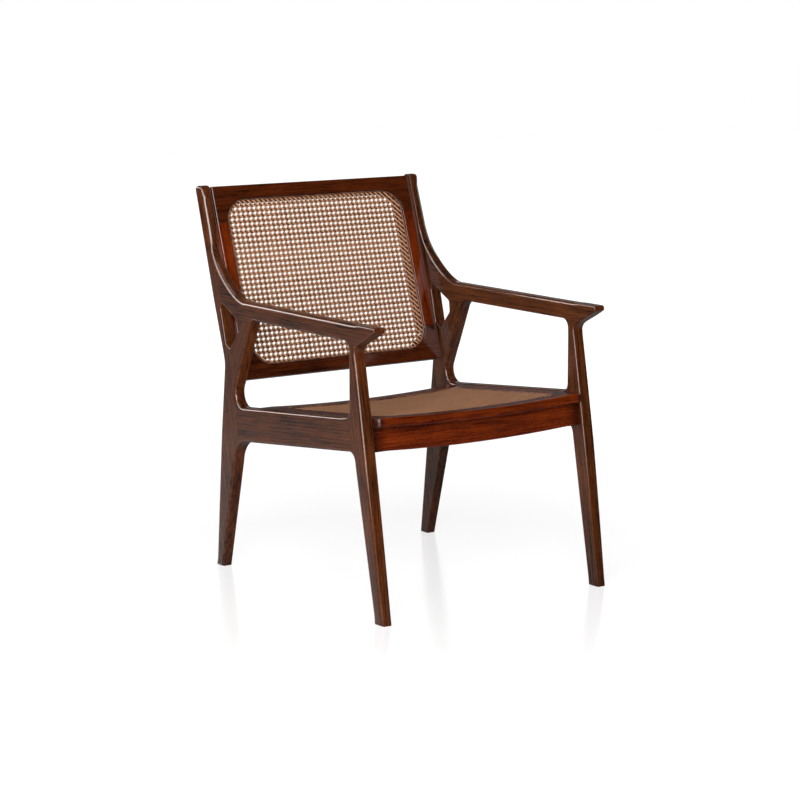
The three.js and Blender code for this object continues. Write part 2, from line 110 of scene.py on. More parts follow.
class SideFrameSizes(bpy.types.PropertyGroup):
    """Sizes of the two side frames; depths run back from the toe of the front foot"""

    depth: length("Depth", "Front toe to the back of the post at full height", 0.754)
    height: length("Height", "Floor to the top of the posts", TOP)
    inner_half: length("Inner half width", "Middle of the chair to the inner face of a side frame", FRONT.x)
    board: length("Board", "Thickness of a side frame", BOARD)
    foot_board: length("Board at the foot", "Thickness of a side frame at the floor", 0.024)
    top_board: length("Board at the top", "Thickness of a post at its top", 0.0254)
    foot_taper: length("Foot taper", "Height where the taper towards the foot starts", 0.32)
    post_taper: length("Post taper", "Height where the taper towards the top starts", 0.62)
    front_foot: length("Front foot", "Length of the front foot on the floor", 0.031)
    front_run: length("Front leg run", "How far back the front leg is at its shoulder", 0.0965)
    shoulder: length("Shoulder", "Height of the front leg's shoulder", 0.569)
    shoulder_depth: length("Shoulder depth", "Depth of the front leg under the arm", 0.019)
    front_fillet: length("Front fillet", "Rounding between front leg and rail", 0.022)
    back_foot: length("Back foot", "Length of the back foot on the floor", 0.0275)
    back_splay: length("Back leg splay", "How far the back leg reaches behind its knee", 0.056)
    knee: length("Knee", "Height where the post starts to rake", 0.481)
    knee_round: length("Knee rounding", "Rounding of the knee", 0.07)
    back_fillet: length("Back fillet", "Rounding between back leg and rail", 0.06)
    post_depth: length("Post depth", "Depth of a post", 0.027)
    post_round: length("Post top rounding", "Rounding of a post's top in the side view", 0.009)
    arm: length("Arm height", "Floor to the top of the arm", 0.629)
    arm_depth: length("Arm depth", "Thickness of the arm from top to underside", 0.039)
    nose_back: length("Nose setback", "Front toe to the arm's nose", 0.022)
    nose_depth: length("Nose depth", "Thickness of the arm at its nose", 0.011)
    nose_round: length("Nose rounding", "Rounding of the arm's nose", 0.005)
    sweep_reach: length("Sweep reach", "How far the sweep runs forward from the post", 0.145)
    rail_rise: length("Rail rise", "How far the side rail stands over the seat", 0.0025)
    rail_start: length("Rail start", "Depth where the rail's underside starts", 0.0996)
    rail_end: length("Rail end", "Reach of the rail's underside in front of the knee", 0.0476)
    rail_front: length("Rail front", "Height of the side rail at its front", 0.0728)
    rail_rear: length("Rail rear", "Height of the side rail at its rear", 0.0782)
    heel: length("Heel reach", "Window's heel in front of the knee", 0.0271)
    brace_head: length("Brace head", "Brace's head in front of the back of the post", 0.1517)
    glue: length("Glue line", "Gap between two joined members", 0.0003)


class PanelSizes(bpy.types.PropertyGroup):
    """Sizes of the raked back panel"""

    rake: angle("Rake", "Lean of the posts and the back panel", 18.4)
    foot: length("Foot height", "Floor to the lower back edge of the panel", 0.436)
    thick: length("Thickness", "Thickness of the back panel", 0.0218)
    gap: length("Gap", "Shadow gap between the panel and a post", 0.0068)
    tongue: length("Tongue", "Thickness of the tongue in the shadow gap", 0.008)
    drop: length("Drop", "Panel's top under the posts' top", 0.0023)
    top_rail: length("Top rail", "Height of the top rail at its middle", 0.031)
    bottom_rail: length("Bottom rail", "Height of the bottom rail at its middle", 0.028)
    stile: length("Stile", "Width of a stile", 0.0281)
    opening: length("Opening rounding", "Rounding of the opening's corners", 0.055)
    edge: length("Edge rounding", "Rounding of the panel's outer edges", 0.0025)


class SeatSizes(bpy.types.PropertyGroup):
    """Sizes of the dished seat frame"""

    slope: angle("Slope", "Fall of the seat towards the back", 5.455)
    setback: length("Setback", "Front toe to the seat's front edge", 0.054)
    height: length("Front height", "Floor to the seat's front edge", 0.432)
    depth: length("Depth", "Depth of the seat frame", 0.479)
    thick: length("Thickness", "Thickness of the seat frame", 0.02)
    rail: length("Rail", "Depth of the front and rear rails", 0.045)
    side: length("Side", "Width of a seat side", 0.0374)
    dish: length("Dish", "How far the seat is hollowed in its middle", 0.007)
    corner: length("Corner rounding", "Rounding of the front corners", 0.017)
    opening: length("Opening rounding", "Rounding of the opening's corners", 0.026)
    edge: length("Edge rounding", "Rounding of the seat's outer edges", 0.003)


class CaneSizes(bpy.types.PropertyGroup):
    """Sizes of the cane webbing, its rebate and its spline"""

    rebate: length("Rebate width", "Width of the ledge that the cane lies on", 0.009)
    rebate_depth: length("Rebate depth", "Depth of that ledge under the frame's face", 0.0052)
    lip: length("Lip rounding", "Rounding of the frame's edges round its opening", 0.0012)
    rise: length("Cane rise", "Middle of the cane over its ledge", 0.0012)
    margin: length("Cane margin", "Lip to the cut ends of the strands", 0.0016)
    pitch_across: length("Pitch across", "Distance from one upright pair of strands to the next", 0.01264)
    pitch_along: length("Pitch along", "Distance from one level pair of strands to the next", 0.01226)
    shift_across: length("Shift across", "How far the back's pairs stand beside its middle", 0.0039)
    shift_along: length("Shift along", "How far the back's pairs stand above its middle", 0.006)
    pair: length("Pair spacing", "Distance between the two strands of a pair", 0.0030)
    strand: length("Strand width", "Width of an upright or level strand", 0.0028)
    binder: length("Binder width", "Width of a slanting strand", 0.0030)
    strand_thick: length("Strand thickness", "Thickness of a strand", 0.0007)
    spline: length("Spline width", "Width of the reed spline", 0.0036)
    spline_high: length("Spline height", "Height of the reed spline", 0.0026)
    spline_rise: length("Spline rise", "Underside of the spline over the ledge", 0.0022)
    spline_margin: length("Spline margin", "Lip to the spline", 0.0013)


class ChairColours(bpy.types.PropertyGroup):
    """Colours of the chair and the floor"""

    frame_dark: colour("Frame, dark grain", "Darkest grain of the side frames", "170601")
    frame_light: colour("Frame, light grain", "Lightest grain of the side frames", "542a12")
    bright_dark: colour("Stile, dark grain", "Darkest grain of the stiles and the seat frame", "3a0c03")
    bright_light: colour("Stile, light grain", "Lightest grain of the stiles and the seat frame", "6a2605")
    rail_dark: colour("Rail, dark grain", "Darkest grain of the back rails", "180601")
    rail_light: colour("Rail, light grain", "Lightest grain of the back rails", "4a1d07")
    cane_dark: colour("Cane, dark strand", "Darkest strand of the webbing", "552d16")
    cane_light: colour("Cane, light strand", "Lightest strand of the webbing", "f6b78c")
    reed: colour("Reed", "Stained reed of the splines", "5b3d31")
    brass: colour("Brass", "Screws under the seat", "b08d4a")
    floor: colour("Floor", "Pale studio floor", "a3a2a1")


# Materials


def feed(tree, node, inputs):
    """Gives a node's inputs their values, or links them from an output or from a node's first output.

    Sockets whose names repeat go by number: Mix has its share at 0, its two numbers at 2 and 3 and its two
    colours at 6 and 7, and Map Range has its value at 0, its range at 1 and 2 and its levels at 3 and 4.
    """
    for socket, value in inputs.items():
        if isinstance(value, bpy.types.Node):
            value = value.outputs[0]
        if isinstance(value, bpy.types.NodeSocket):
            tree.links.new(value, node.inputs[socket])
        else:
            node.inputs[socket].default_value = value


def add(tree, kind, inputs=(), stops=(), **settings):
    """Adds a node with its settings, its inputs and its colour stops."""
    made = tree.nodes.new(kind)
    for name, value in settings.items():
        setattr(made, name, value)
    feed(tree, made, dict(inputs))
    if stops:
        ramp = made.color_ramp.elements
        while len(ramp) < len(stops):
            ramp.new(0.5)
        for element, (place, tone) in zip(ramp, stops):
            element.position = place
            element.color = (*tone, 1)
    return made


def new_material(name):
    """A material that ends in a Principled shader, with its tree and that shader."""
    material = bpy.data.materials.new(name)
    material.use_nodes = True
    tree = material.node_tree
    tree.nodes.clear()
    shader = add(tree, "ShaderNodeBsdfPrincipled")
    add(tree, "ShaderNodeOutputMaterial", {"Surface": shader})
    return material, tree, shader


def scale_for(millimetres):
    """The texture scale that gives spots of this size."""
    return 1 / (millimetres * MM)


def shade(tone, factor):
    """A tone made lighter or darker by a factor."""
    return tuple(min(1.0, factor * c) for c in tone)


def between(dark, light, share):
    """The tone at a share of the way from dark to light."""
    return tuple(a + (b - a) * share for a, b in zip(dark, light))


# Noises of the wood: size along and across the grain in millimetres, and settings. Streaks are the broad
# figure. Fibres are drawn twice as coarse as real ones, so that they show. Pores are short and dark
GRAIN = {
    "streaks": (200, 9.09, {"Detail": 5.0, "Roughness": 0.62, "Distortion": 0.6}),
    "fibres": (45.45, 1.25, {"Detail": 3.0}),
    "pores": (8.333, 0.5882, {"Detail": 1.0}),
}
# Growth rings 5.2 mm apart round a line along the grain. Most parts are far from it, so they show nearly
# straight bands that long waves bend. The wave texture turns by 20 radians over one unit
RING_SPACING = 5.236
RING_WAVE = {"Distortion": 12.0, "Detail": 3.0, "Detail Scale": 0.5}
RING_STRETCH = (0.08, 1, 1)
PITH = (0, 0.045, 0.006)
WAVE_TURN = 20
# Slow changes of tone, in spots of this size
TONE_SPOT = 142.9
# Places of the four tones in the figure, from dark to bright
WOOD_STOPS = (0.4, 0.47, 0.53, 0.62)
# Range of the noise that makes a pore, and what it leaves of the tone
PORES = (0.36, 0.46, 0.3, 1.0)
# What is left of the tone at the ends of a rail, darkened there as painted shade of the legs
PAINTED_SHADE_END = 0.3


def lacquered_hardwood(part, tones, stain, grain, shift, ends=None):
    """Red-brown hardwood, planed, stained and sprayed with satin lacquer.

    The eye gets long grain streaks, short dark pores and a smooth clear coat with bright lights on it.
    stain names the two tones, grain is the direction of the fibres, and shift gives the part its own place in
    the tree. ends darkens the wood between two distances from the chair's middle, as painted shade beside the
    legs.
    """
    material, tree, shader = new_material(f"lacquered_hardwood_{part}")
    dark, light = getattr(tones, f"{stain}_dark"), getattr(tones, f"{stain}_light")
    place = add(tree, "ShaderNodeTexCoord").outputs["Object"]
    turn = Vector(grain).to_track_quat("X", "Z").inverted().to_euler()
    line = add(tree, "ShaderNodeMapping", {"Vector": place, "Rotation": turn, "Location": (shift,) * 3})
    bent = add(tree, "ShaderNodeMapping", {"Vector": line, "Scale": RING_STRETCH, "Location": PITH})
    rings = add(
        tree,
        "ShaderNodeTexWave",
        {"Vector": bent, "Scale": 2 * math.pi / WAVE_TURN * scale_for(RING_SPACING), **RING_WAVE},
        wave_type="RINGS",
        rings_direction="X",
    )
    noises = {}
    for kind, (along, across, settings) in GRAIN.items():
        scale = (scale_for(along), scale_for(across), scale_for(across))
        drawn = add(tree, "ShaderNodeMapping", {"Vector": line, "Scale": scale})
        noises[kind] = add(tree, "ShaderNodeTexNoise", {"Vector": drawn, "Scale": 1.0, **settings})
    fibres = noises["fibres"]
    slow = add(tree, "ShaderNodeTexNoise", {"Vector": line, "Scale": scale_for(TONE_SPOT), "Detail": 2.0})
    figure = noises["streaks"]
    for pattern, share in ((rings.outputs["Fac"], 0.12), (fibres, 0.4), (slow, 0.22)):
        figure = add(tree, "ShaderNodeMix", {0: share, 2: figure, 3: pattern}, data_type="FLOAT")
    stops = zip(WOOD_STOPS, (dark, between(dark, light, 0.6), light, shade(light, 1.5)))
    tone = add(tree, "ShaderNodeValToRGB", {0: figure}, list(stops))

    pitted = add(tree, "ShaderNodeMapRange", dict(enumerate((noises["pores"], *PORES))))
    pores_and_painted_shade = [pitted]
    # Painted shade: towards its ends, next to the legs, the wood's colour darkens
    if ends:
        across = add(tree, "ShaderNodeSeparateXYZ", {0: place})
        away = add(tree, "ShaderNodeMath", {0: across}, operation="ABSOLUTE")
        pores_and_painted_shade.append(
            add(tree, "ShaderNodeMapRange", {0: away, 1: ends[0], 2: ends[1], 3: 1.0, 4: PAINTED_SHADE_END})
        )
    for darkening in pores_and_painted_shade:
        inputs = {0: 1.0, 6: tone, 7: darkening}
        tone = add(tree, "ShaderNodeMix", inputs, data_type="RGBA", blend_type="MULTIPLY").outputs[2]
    relief = add(tree, "ShaderNodeMix", {0: 0.5, 2: fibres, 3: pitted}, data_type="FLOAT")
    coat = {"Height": noises["streaks"], "Strength": 0.12, "Distance": 1.0 * MM}
    feed(
        tree,
        shader,
        {
            "Base Color": tone,
            "Roughness": add(tree, "ShaderNodeMapRange", {0: fibres, 3: 0.3, 4: 0.5}),
            "Normal": add(tree, "ShaderNodeBump", {"Height": relief, "Strength": 0.25, "Distance": 0.3 * MM}),
            "Coat Normal": add(tree, "ShaderNodeBump", coat),
            "IOR": 1.5,
            "Specular IOR Level": 0.05,
            "Coat Weight": 0.75,
            "Coat Roughness": 0.12,
        },
    )
    return material


def woven_cane(name, dark, light):
    """Six-way cane webbing of split rattan peel, woven on a loom and stained.

    The eye gets satin, round-backed strands, each of its own tone, with fine lines and edges darkened as
    painted shade. The binders on top get a lighter tone as painted light and the other strands darker tones as
    painted shade.
    """
    material, tree, shader = new_material(name)
    place = add(tree, "ShaderNodeTexCoord").outputs["Object"]
    # Each strand's tone: lighter for the binders on top as painted light, darker for the others as painted
    # shade
    own = add(tree, "ShaderNodeAttribute", attribute_name="strand").outputs["Fac"]
    crown = add(tree, "ShaderNodeAttribute", attribute_name="crown").outputs["Fac"]
    # Blotches of 6 mm, and the peel's own lines drawn at 0.8 mm so that they show
    blotch = add(tree, "ShaderNodeTexNoise", {"Vector": place, "Scale": scale_for(6.25), "Detail": 3.0})
    lines = add(tree, "ShaderNodeTexNoise", {"Vector": place, "Scale": scale_for(0.8333), "Detail": 2.0})
    figure = own
    for pattern, share in ((blotch, 0.35), (lines, 0.25)):
        figure = add(tree, "ShaderNodeMix", {0: share, 2: figure, 3: pattern}, data_type="FLOAT")
    stops = [(0.25, dark), (0.45, between(dark, light, 0.5)), (0.7, light)]
    # Painted shade: each strand's colour darkens towards its side edges
    inputs = {
        0: 1.0,
        6: add(tree, "ShaderNodeValToRGB", {0: figure}, stops),
        7: add(tree, "ShaderNodeMapRange", {0: crown, 3: 0.25, 4: 1.0}),
    }
    tone = add(tree, "ShaderNodeMix", inputs, data_type="RGBA", blend_type="MULTIPLY").outputs[2]
    feed(
        tree,
        shader,
        {
            "Base Color": tone,
            "Roughness": add(tree, "ShaderNodeMapRange", {0: blotch, 3: 0.5, 4: 0.72}),
            "Normal": add(tree, "ShaderNodeBump", {"Height": lines, "Strength": 0.3, "Distance": 0.2 * MM}),
            "IOR": 1.5,
            "Specular IOR Level": 0.08,
        },
    )
    return material


def stained_reed(name, tone):
    """Round reed, split, stained and pressed into its groove; the eye gets a dull bead, blotched at 11 mm."""
    material, tree, shader = new_material(name)
    place = add(tree, "ShaderNodeTexCoord").outputs["Object"]
    blotch = add(tree, "ShaderNodeTexNoise", {"Vector": place, "Scale": scale_for(11.11), "Detail": 4.0})
    stops = [(0.35, shade(tone, 0.4)), (0.5, tone), (0.7, shade(tone, 2.3))]
    feed(
        tree,
        shader,
        {
            "Base Color": add(tree, "ShaderNodeValToRGB", {0: blotch}, stops),
            "Roughness": add(tree, "ShaderNodeMapRange", {0: blotch, 3: 0.3, 4: 0.5}),
            "Normal": add(tree, "ShaderNodeBump", {"Height": blotch, "Strength": 0.3, "Distance": 0.4 * MM}),
            "IOR": 1.5,
        },
    )
    return material


def turned_brass(name, tone):
    """Turned brass, a little tarnished; the eye gets a warm metal with dull patches of 2.5 mm."""
    material, tree, shader = new_material(name)
    place = add(tree, "ShaderNodeTexCoord").outputs["Object"]
    blotch = add(tree, "ShaderNodeTexNoise", {"Vector": place, "Scale": scale_for(2.5), "Detail": 3.0})
    stops = [(0.35, shade(tone, 0.45)), (0.6, tone)]
    feed(
        tree,
        shader,
        {
            "Base Color": add(tree, "ShaderNodeValToRGB", {0: blotch}, stops),
            "Roughness": add(tree, "ShaderNodeMapRange", {0: blotch, 3: 0.5, 4: 0.25}),
            "Metallic": 1.0,
        },
    )
    return material


# Meshes

# Edges that turn by more than this stay crisp
FLAT_ANGLE = math.radians(20)


def new_object(name, mesh, material):
    """A smooth-shaded object of a mesh, linked to the scene."""
    mesh.polygons.foreach_set("use_smooth", [True] * len(mesh.polygons))
    mesh.materials.append(material)
    made = bpy.data.objects.new(name, mesh)
    bpy.context.scene.collection.objects.link(made)
    return made


def finish_mesh(name, bm, material, mirror=False):
    """Makes a smooth-shaded object of a closed mesh, with crisp edges where its faces turn sharply."""
    if mirror:
        bmesh.ops.scale(bm, vec=(-1, 1, 1), verts=bm.verts)
    bmesh.ops.recalc_face_normals(bm, faces=bm.faces)
    mesh = bpy.data.meshes.new(name)
    bm.to_mesh(mesh)
    bm.free()
    made = new_object(name, mesh, material)
    mesh.set_sharp_from_angle(angle=FLAT_ANGLE)
    weighted = made.modifiers.new("Flat faces stay flat", "WEIGHTED_NORMAL")
    weighted.keep_sharp = True
    return made


def put(piece, nodes):
    """Puts a finished piece on the chair in place of its CAD nodes."""
    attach(piece, "root")
    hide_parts(*nodes)


# Side profile: a point is a complex number, depth + height i

ARC_STEPS = 10
LONG_ARC_STEPS = 16
EYE_ARC_STEPS = 8
# Longest stretch without a point, and how far the roundings of two stretches blend
EDGE_SPACING = 0.010
EDGE_BLUR = 0.010
EYE_BLUR = 0.004


def rounded(before, here, after, radius, steps=ARC_STEPS):
    """Points of the arc that rounds a corner."""
    if radius == 0:
        return [here]
    to_before = (before - here) / abs(before - here)
    to_after = (after - here) / abs(after - here)
    half = abs(cmath.phase(to_after / to_before)) / 2
    centre = here + (to_before + to_after) / abs(to_before + to_after) * radius / math.sin(half)
    start = here + to_before * radius / math.tan(half)
    end = here + to_after * radius / math.tan(half)
    turn = cmath.phase((end - centre) / (start - centre))
    return [centre + (start - centre) * cmath.exp(1j * turn * k / steps) for k in range(steps + 1)]


def curve(controls, steps):
    """Points of a smooth curve from the first control to the last, drawn towards the others."""
    points = []
    for k in range(steps + 1):
        row = list(controls)
        while len(row) > 1:
            row = [a + (b - a) * k / steps for a, b in zip(row, row[1:])]
        points.append(row[0])
    return points


class EdgeLoop:
    """A closed line of the profile with the rounding of the board's inner and outer edge at each point.

    A run is its points, the two roundings in millimetres and a mark for its middle point. Long stretches get
    points between, and one rounding passes smoothly into the next.
    """

    def __init__(self, runs, blur=EDGE_BLUR):
        self.points = []
        self.marks = {}
        soft = []
        first, *first_softs, _ = runs[0]
        for points, inner, outer, mark in [*runs, (first[:1], *first_softs, None)]:
            softs = (inner * MM, outer * MM)
            for i, point in enumerate(points):
                if self.points:
                    last = self.points[-1]
                    if abs(point - last) < SAME_PLACE:
                        continue
                    count = int(abs(point - last) / EDGE_SPACING)
                    for k in range(1, count + 1):
                        self.points.append(last + (point - last) * k / (count + 1))
                        soft.append(softs)
                self.points.append(point)
                soft.append(softs)
                if mark and i == len(points) // 2:
                    self.marks[mark] = len(self.points) - 1
        self.points.pop()
        soft.pop()
        self.soft = []
        for here in self.points:
            weights = [math.exp(-((abs(other - here) / blur) ** 2)) for other in self.points]
            total = sum(weights)
            self.soft.append(tuple(sum(w * s[k] for w, s in zip(weights, soft)) / total for k in (0, 1)))

    def span(self, start, end, back=False):
        """The points from one mark to another, each with its two roundings."""
        i, stop = self.marks[start], self.marks[end]
        step = -1 if back else 1
        found = [i]
        while i != stop:
            i = (i + step) % len(self.points)
            found.append(i)
        return [(self.points[k], *self.soft[k]) for k in found]


# The sweep leaves the post at a share of its height over the arm. Its controls lie a share of that height
# down the post and a share of its reach along the arm. The arm is sawn off the post at one of its steps
SWEEP_START_SHARE = 0.455
SWEEP_DOWN_SHARE = 0.4
SWEEP_LEVEL_SHARE = 0.345
SWEEP_STEPS = 40
SWEEP_JOINT = 14
# Controls of the flare, as shares forward and up from the shoulder to the nose, and of the shin, as shares
# back and up from the toe to the shoulder
FLARE_SHARES = ((0.295, 0.37), (0.054, 0.37))
FLARE_STEPS = 16
SHIN_SHARES = (0.5, 0.562)
SHIN_STEPS = 12
# The roundings along the arm ease off this far behind its nose
NOSE_EASE = 0.07
# Roundings of the window's corners: under the arm, on the rail, at the heel and under the brace
WINDOW_ROUNDS = (0.020, 0.018, 0.030, 0.028)
BRACE_FOOT_SHARE = 0.4214
# Corners of the eye: mark, share of the height from rail to arm, reach before the back line, and rounding
EYE = (
    ("top", 0.9513, 0.0358, 0.003),
    ("head", 0.8133, 0.0925, 0.008),
    ("front", 0.7077, 0.0869, 0.008),
    ("toe", 0.5413, 0.0372, 0.003),
    ("heel", 0.5819, 0.0206, 0.003),
    ("back", 0.8985, 0.0265, 0.003),
)


def side_loops(side, panel, seat):
    """The outline of a side frame, its window and its eye."""
    lean = math.tan(panel.rake)
    fall = math.tan(seat.slope)

    def back_at(height):
        return side.depth - (side.height - height) * lean

    def rail_top(depth):
        return seat.height - (depth - seat.setback) * fall + side.rail_rise

    knee = complex(back_at(side.knee), side.knee)
    shoulder = complex(side.front_run, side.shoulder)
    arm_under = side.arm - side.arm_depth
    climb = SWEEP_START_SHARE * (side.height - side.arm)
    top = complex(back_at(side.arm + climb) - side.post_depth, side.arm + climb)
    landing = complex(top.real - side.sweep_reach, side.arm)
    down_post = top - SWEEP_DOWN_SHARE * climb * complex(lean, 1)
    sweep = curve([top, down_post, landing + SWEEP_LEVEL_SHARE * side.sweep_reach, landing], SWEEP_STEPS)
    nose = complex(side.nose_back, side.arm)
    under_nose = nose - side.nose_depth * 1j
    way = under_nose - shoulder
    bends = [shoulder + complex(way.real * forward, way.imag * up) for forward, up in FLARE_SHARES]
    flare = curve([under_nose, *bends, shoulder], FLARE_STEPS)
    shin_bend = complex(SHIN_SHARES[0] * side.front_run, SHIN_SHARES[1] * side.shoulder)
    shin = curve([shoulder, shin_bend, 0j], SHIN_STEPS)

    front = side.front_run + side.shoulder_depth
    rear = knee.real - side.heel
    window = [
        complex(front, arm_under),
        complex(front, rail_top(front)),
        complex(rear, rail_top(rear)),
        complex(back_at(arm_under) - side.brace_head, arm_under),
    ]
    arcs = [
        rounded(window[k - 1], window[k], window[(k + 1) % 4], by) for k, by in enumerate(WINDOW_ROUNDS)
    ]
    brace_foot = window[2] + (window[3] - window[2]) * BRACE_FOOT_SHARE
    window_loop = EdgeLoop(
        [
            (arcs[0], 3, 5, "arm_front"),
            (arcs[1], 4, 5, "rail_front"),
            (arcs[2], 8, 8, "rail_rear"),
            ([brace_foot], 7, 8, "brace_foot"),
            (arcs[3], 5, 7, "brace_head"),
        ]
    )

    # The arm is sawn off the front leg level with the middle of the window's first rounding
    joint = arcs[0][len(arcs[0]) // 2].imag
    below = next(k for k, point in enumerate(flare) if point.imag < joint)
    over, under = flare[below - 1], flare[below]
    crossing = over + (under - over) * (over.imag - joint) / (over.imag - under.imag)

    front_foot = complex(side.front_foot, 0)
    rail_end = knee.real - side.rail_end
    rail_front = complex(side.rail_start, rail_top(side.rail_start) - side.rail_front)
    rail_rear = complex(rail_end, rail_top(rail_end) - side.rail_rear)
    toe = complex(knee.real + side.back_splay, 0)
    heel = toe - side.back_foot
    back_top = complex(back_at(side.height), side.height)
    front_top = back_top - side.post_depth
    outline_loop = EdgeLoop(
        [
            ([front_foot], 2, 2, None),
            (rounded(front_foot, rail_front, rail_rear, side.front_fillet), 4, 6, "rail_front"),
            (rounded(rail_front, rail_rear, heel, side.back_fillet, LONG_ARC_STEPS), 3, 5, "rail_rear"),
            ([heel], 2, 5, None),
            ([toe], 2, 2, None),
            (rounded(toe, knee, back_top, side.knee_round, LONG_ARC_STEPS), 2, 7, None),
            (rounded(knee, back_top, front_top, side.post_round), 1.5, 7.5, None),
            (rounded(back_top, front_top, top, side.post_round), 1.5, 8, None),
            ([top], 1.5, 17, None),
            (sweep[: SWEEP_JOINT + 1], 8, 13, None),
            (sweep[SWEEP_JOINT:], 9, 11, None),
            ([nose + NOSE_EASE], 9, 10, None),
            (rounded(landing, nose, under_nose, side.nose_round), 4, 4.5, None),
            (flare[:below], 3, 3.5, None),
            ([crossing], 3, 4, "crossing"),
            (flare[below:], 3, 4, None),
            (shin[1:], 4, 6, None),
        ]
    )
    outline_loop.marks["sweep"] = min(
        range(len(outline_loop.points)), key=lambda k: abs(outline_loop.points[k] - sweep[SWEEP_JOINT])
    )

    low = rail_top(rear)
    eye = []
    for _, share, before_back, _ in EYE:
        height = low + (side.arm - low) * share
        eye.append(complex(back_at(height) - before_back, height))
    eye_runs = []
    for k, (mark, _, _, radius) in enumerate(EYE):
        arc = rounded(eye[k - 1], eye[k], eye[(k + 1) % len(eye)], radius, EYE_ARC_STEPS)
        eye_runs.append((arc, 2.5, 3.5, mark))
    return outline_loop, window_loop, EdgeLoop(eye_runs, EYE_BLUR)


def members(outline, window, eye):
    """Each member of a side frame as the spans that bound it; sawn joints close the gaps between them."""
    return {
        "front_leg": [outline.span("crossing", "rail_front"), window.span("rail_front", "arm_front", True)],
        "side_rail": [outline.span("rail_front", "rail_rear"), window.span("rail_rear", "rail_front", True)],
        "back_leg": [
            outline.span("rail_rear", "sweep"),
            eye.span("top", "toe", True),
            window.span("brace_foot", "rail_rear", True),
        ],
        "brace": [window.span("brace_head", "brace_foot", True), eye.span("toe", "head", True)],
        "arm": [
            outline.span("sweep", "crossing"),
            window.span("arm_front", "brace_head", True),
            eye.span("head", "top", True),
        ],
    }


ROUND_STEPS = 6
# Sine of the turn under which two edges count as one line
NEARLY_STRAIGHT = 0.05


def inset(before, here, after, by_before, by_after):
    """How far a point moves so that the edges before and after it each move inwards by their own distance."""
    first = 1j * (here - before) / abs(here - before)
    second = 1j * (after - here) / abs(after - here)
    cross = (first.conjugate() * second).imag
    if abs(cross) < NEARLY_STRAIGHT:
        both = (first + second) / abs(first + second)
        return both * (by_before + by_after) / 2
    return 1j * (by_after * first - by_before * second) / cross


def hold_back(points, places, ends, sawn):
    """Moves inset points that passed a sawn joint to the joint's own corner."""
    count = len(points)
    for i in range(count):
        if not ends[i]:
            continue
        j = (i + 1) % count
        before, after = points[i][0], points[j][0]
        inward = 1j * (after - before) / abs(after - before)
        for corner, step in ((i, -1), (j, 1)):
            k = (corner + step) % count
            while ((places[k] - before) * inward.conjugate()).real < sawn:
                places[k] = places[corner]
                k = (k + step) % count


def member_mesh(spans, side):
    """The solid of one member: its profile, rounded along the board's edges and flat at its sawn joints."""
    points = [entry for span in spans for entry in span]
    ends = [k == len(span) - 1 for span in spans for k in range(len(span))]
    count = len(points)
    sawn = side.glue / 2
    bm = bmesh.new()
    rings = []
    turns = [math.pi / 2 * k / ROUND_STEPS for k in range(ROUND_STEPS + 1)]
    for outer, order in ((False, turns), (True, turns[::-1])):
        for turn in order:
            places = []
            depths = []
            for i, (here, soft_in, soft_out) in enumerate(points):
                soft = soft_out if outer else soft_in
                by = soft * (1 - math.sin(turn))
                deep = soft * (1 - math.cos(turn))
                depths.append(side.board - deep if outer else deep)
                before, after = points[i - 1][0], points[(i + 1) % count][0]
                moves = [sawn if end else by for end in (ends[i - 1], ends[i])]
                places.append(here + inset(before, here, after, *moves))
            hold_back(points, places, ends, sawn)
            rings.append([bm.verts.new((x, at.real, at.imag)) for x, at in zip(depths, places)])
    for low, high in zip(rings, rings[1:]):
        for i in range(count):
            j = (i + 1) % count
            bm.faces.new((low[i], low[j], high[j], high[i]))
    caps = [bm.faces.new(rings[0]), bm.faces.new(rings[-1])]
    bmesh.ops.remove_doubles(bm, verts=bm.verts, dist=SAME_PLACE)
    bmesh.ops.triangulate(bm, faces=[face for face in caps if face.is_valid])
    for height in (side.foot_taper, side.post_taper):
        whole = bm.verts[:] + bm.edges[:] + bm.faces[:]
        bmesh.ops.bisect_plane(bm, geom=whole, plane_co=(0, 0, height), plane_no=(0, 0, 1))
    for v in bm.verts:
        low = min(v.co.z / side.foot_taper, 1)
        high = max((v.co.z - side.post_taper) / (side.height - side.post_taper), 0)
        thick = side.board - (side.board - side.foot_board) * (1 - low) - (side.board - side.top_board) * high
        v.co.x = side.inner_half + v.co.x * thick / side.board
        v.co.y += FRONT.y
    return bm


# Frames round a cane sheet, each in its own plane: across, along, and up to its face

CORNER_STEPS = 14
RUN_STEPS = 10
EDGE_STEPS = 4
BEAD_STEPS = 8
# The search for a frame's edge starts between its window and this far out, and is halved
FAR_OUT = 2.0
REACH_HALVINGS = 40


def back_frame(side, panel):
    """The back panel; along is up the rake, and its face is its front."""
    rise = side.height - panel.drop - panel.foot
    tall = (rise - panel.thick * math.sin(panel.rake)) / math.cos(panel.rake)
    outer = side.inner_half - panel.gap
    back = side.depth - (side.height - panel.foot) * math.tan(panel.rake)
    turn = Matrix.Rotation(math.pi / 2 - panel.rake, 4, "X")
    return SimpleNamespace(
        sizes=panel,
        half=outer - panel.stile,
        low=panel.bottom_rail,
        high=tall - panel.top_rail,
        outer=outer,
        depth=tall,
        corner=0.0,
        tongue=panel.tongue,
        face=panel.thick,
        bend=lambda x: 0.0,
        place=Matrix.Translation((0, back + FRONT.y, panel.foot)) @ turn,
    )


def seat_frame(side, seat):
    """The seat frame; along is backwards down the slope, and its face is its top, hollowed across."""
    half = side.inner_half - seat.side
    turn = Matrix.Rotation(-seat.slope, 4, "X")
    return SimpleNamespace(
        sizes=seat,
        half=half,
        low=seat.rail,
        high=seat.depth - seat.rail,
        outer=side.inner_half,
        depth=seat.depth,
        corner=seat.corner,
        tongue=0.0,
        face=0.0,
        bend=lambda x: -seat.dish * (1 - min(abs(x) / half, 1) ** 2),
        place=Matrix.Translation((0, seat.setback + FRONT.y, seat.height)) @ turn,
    )


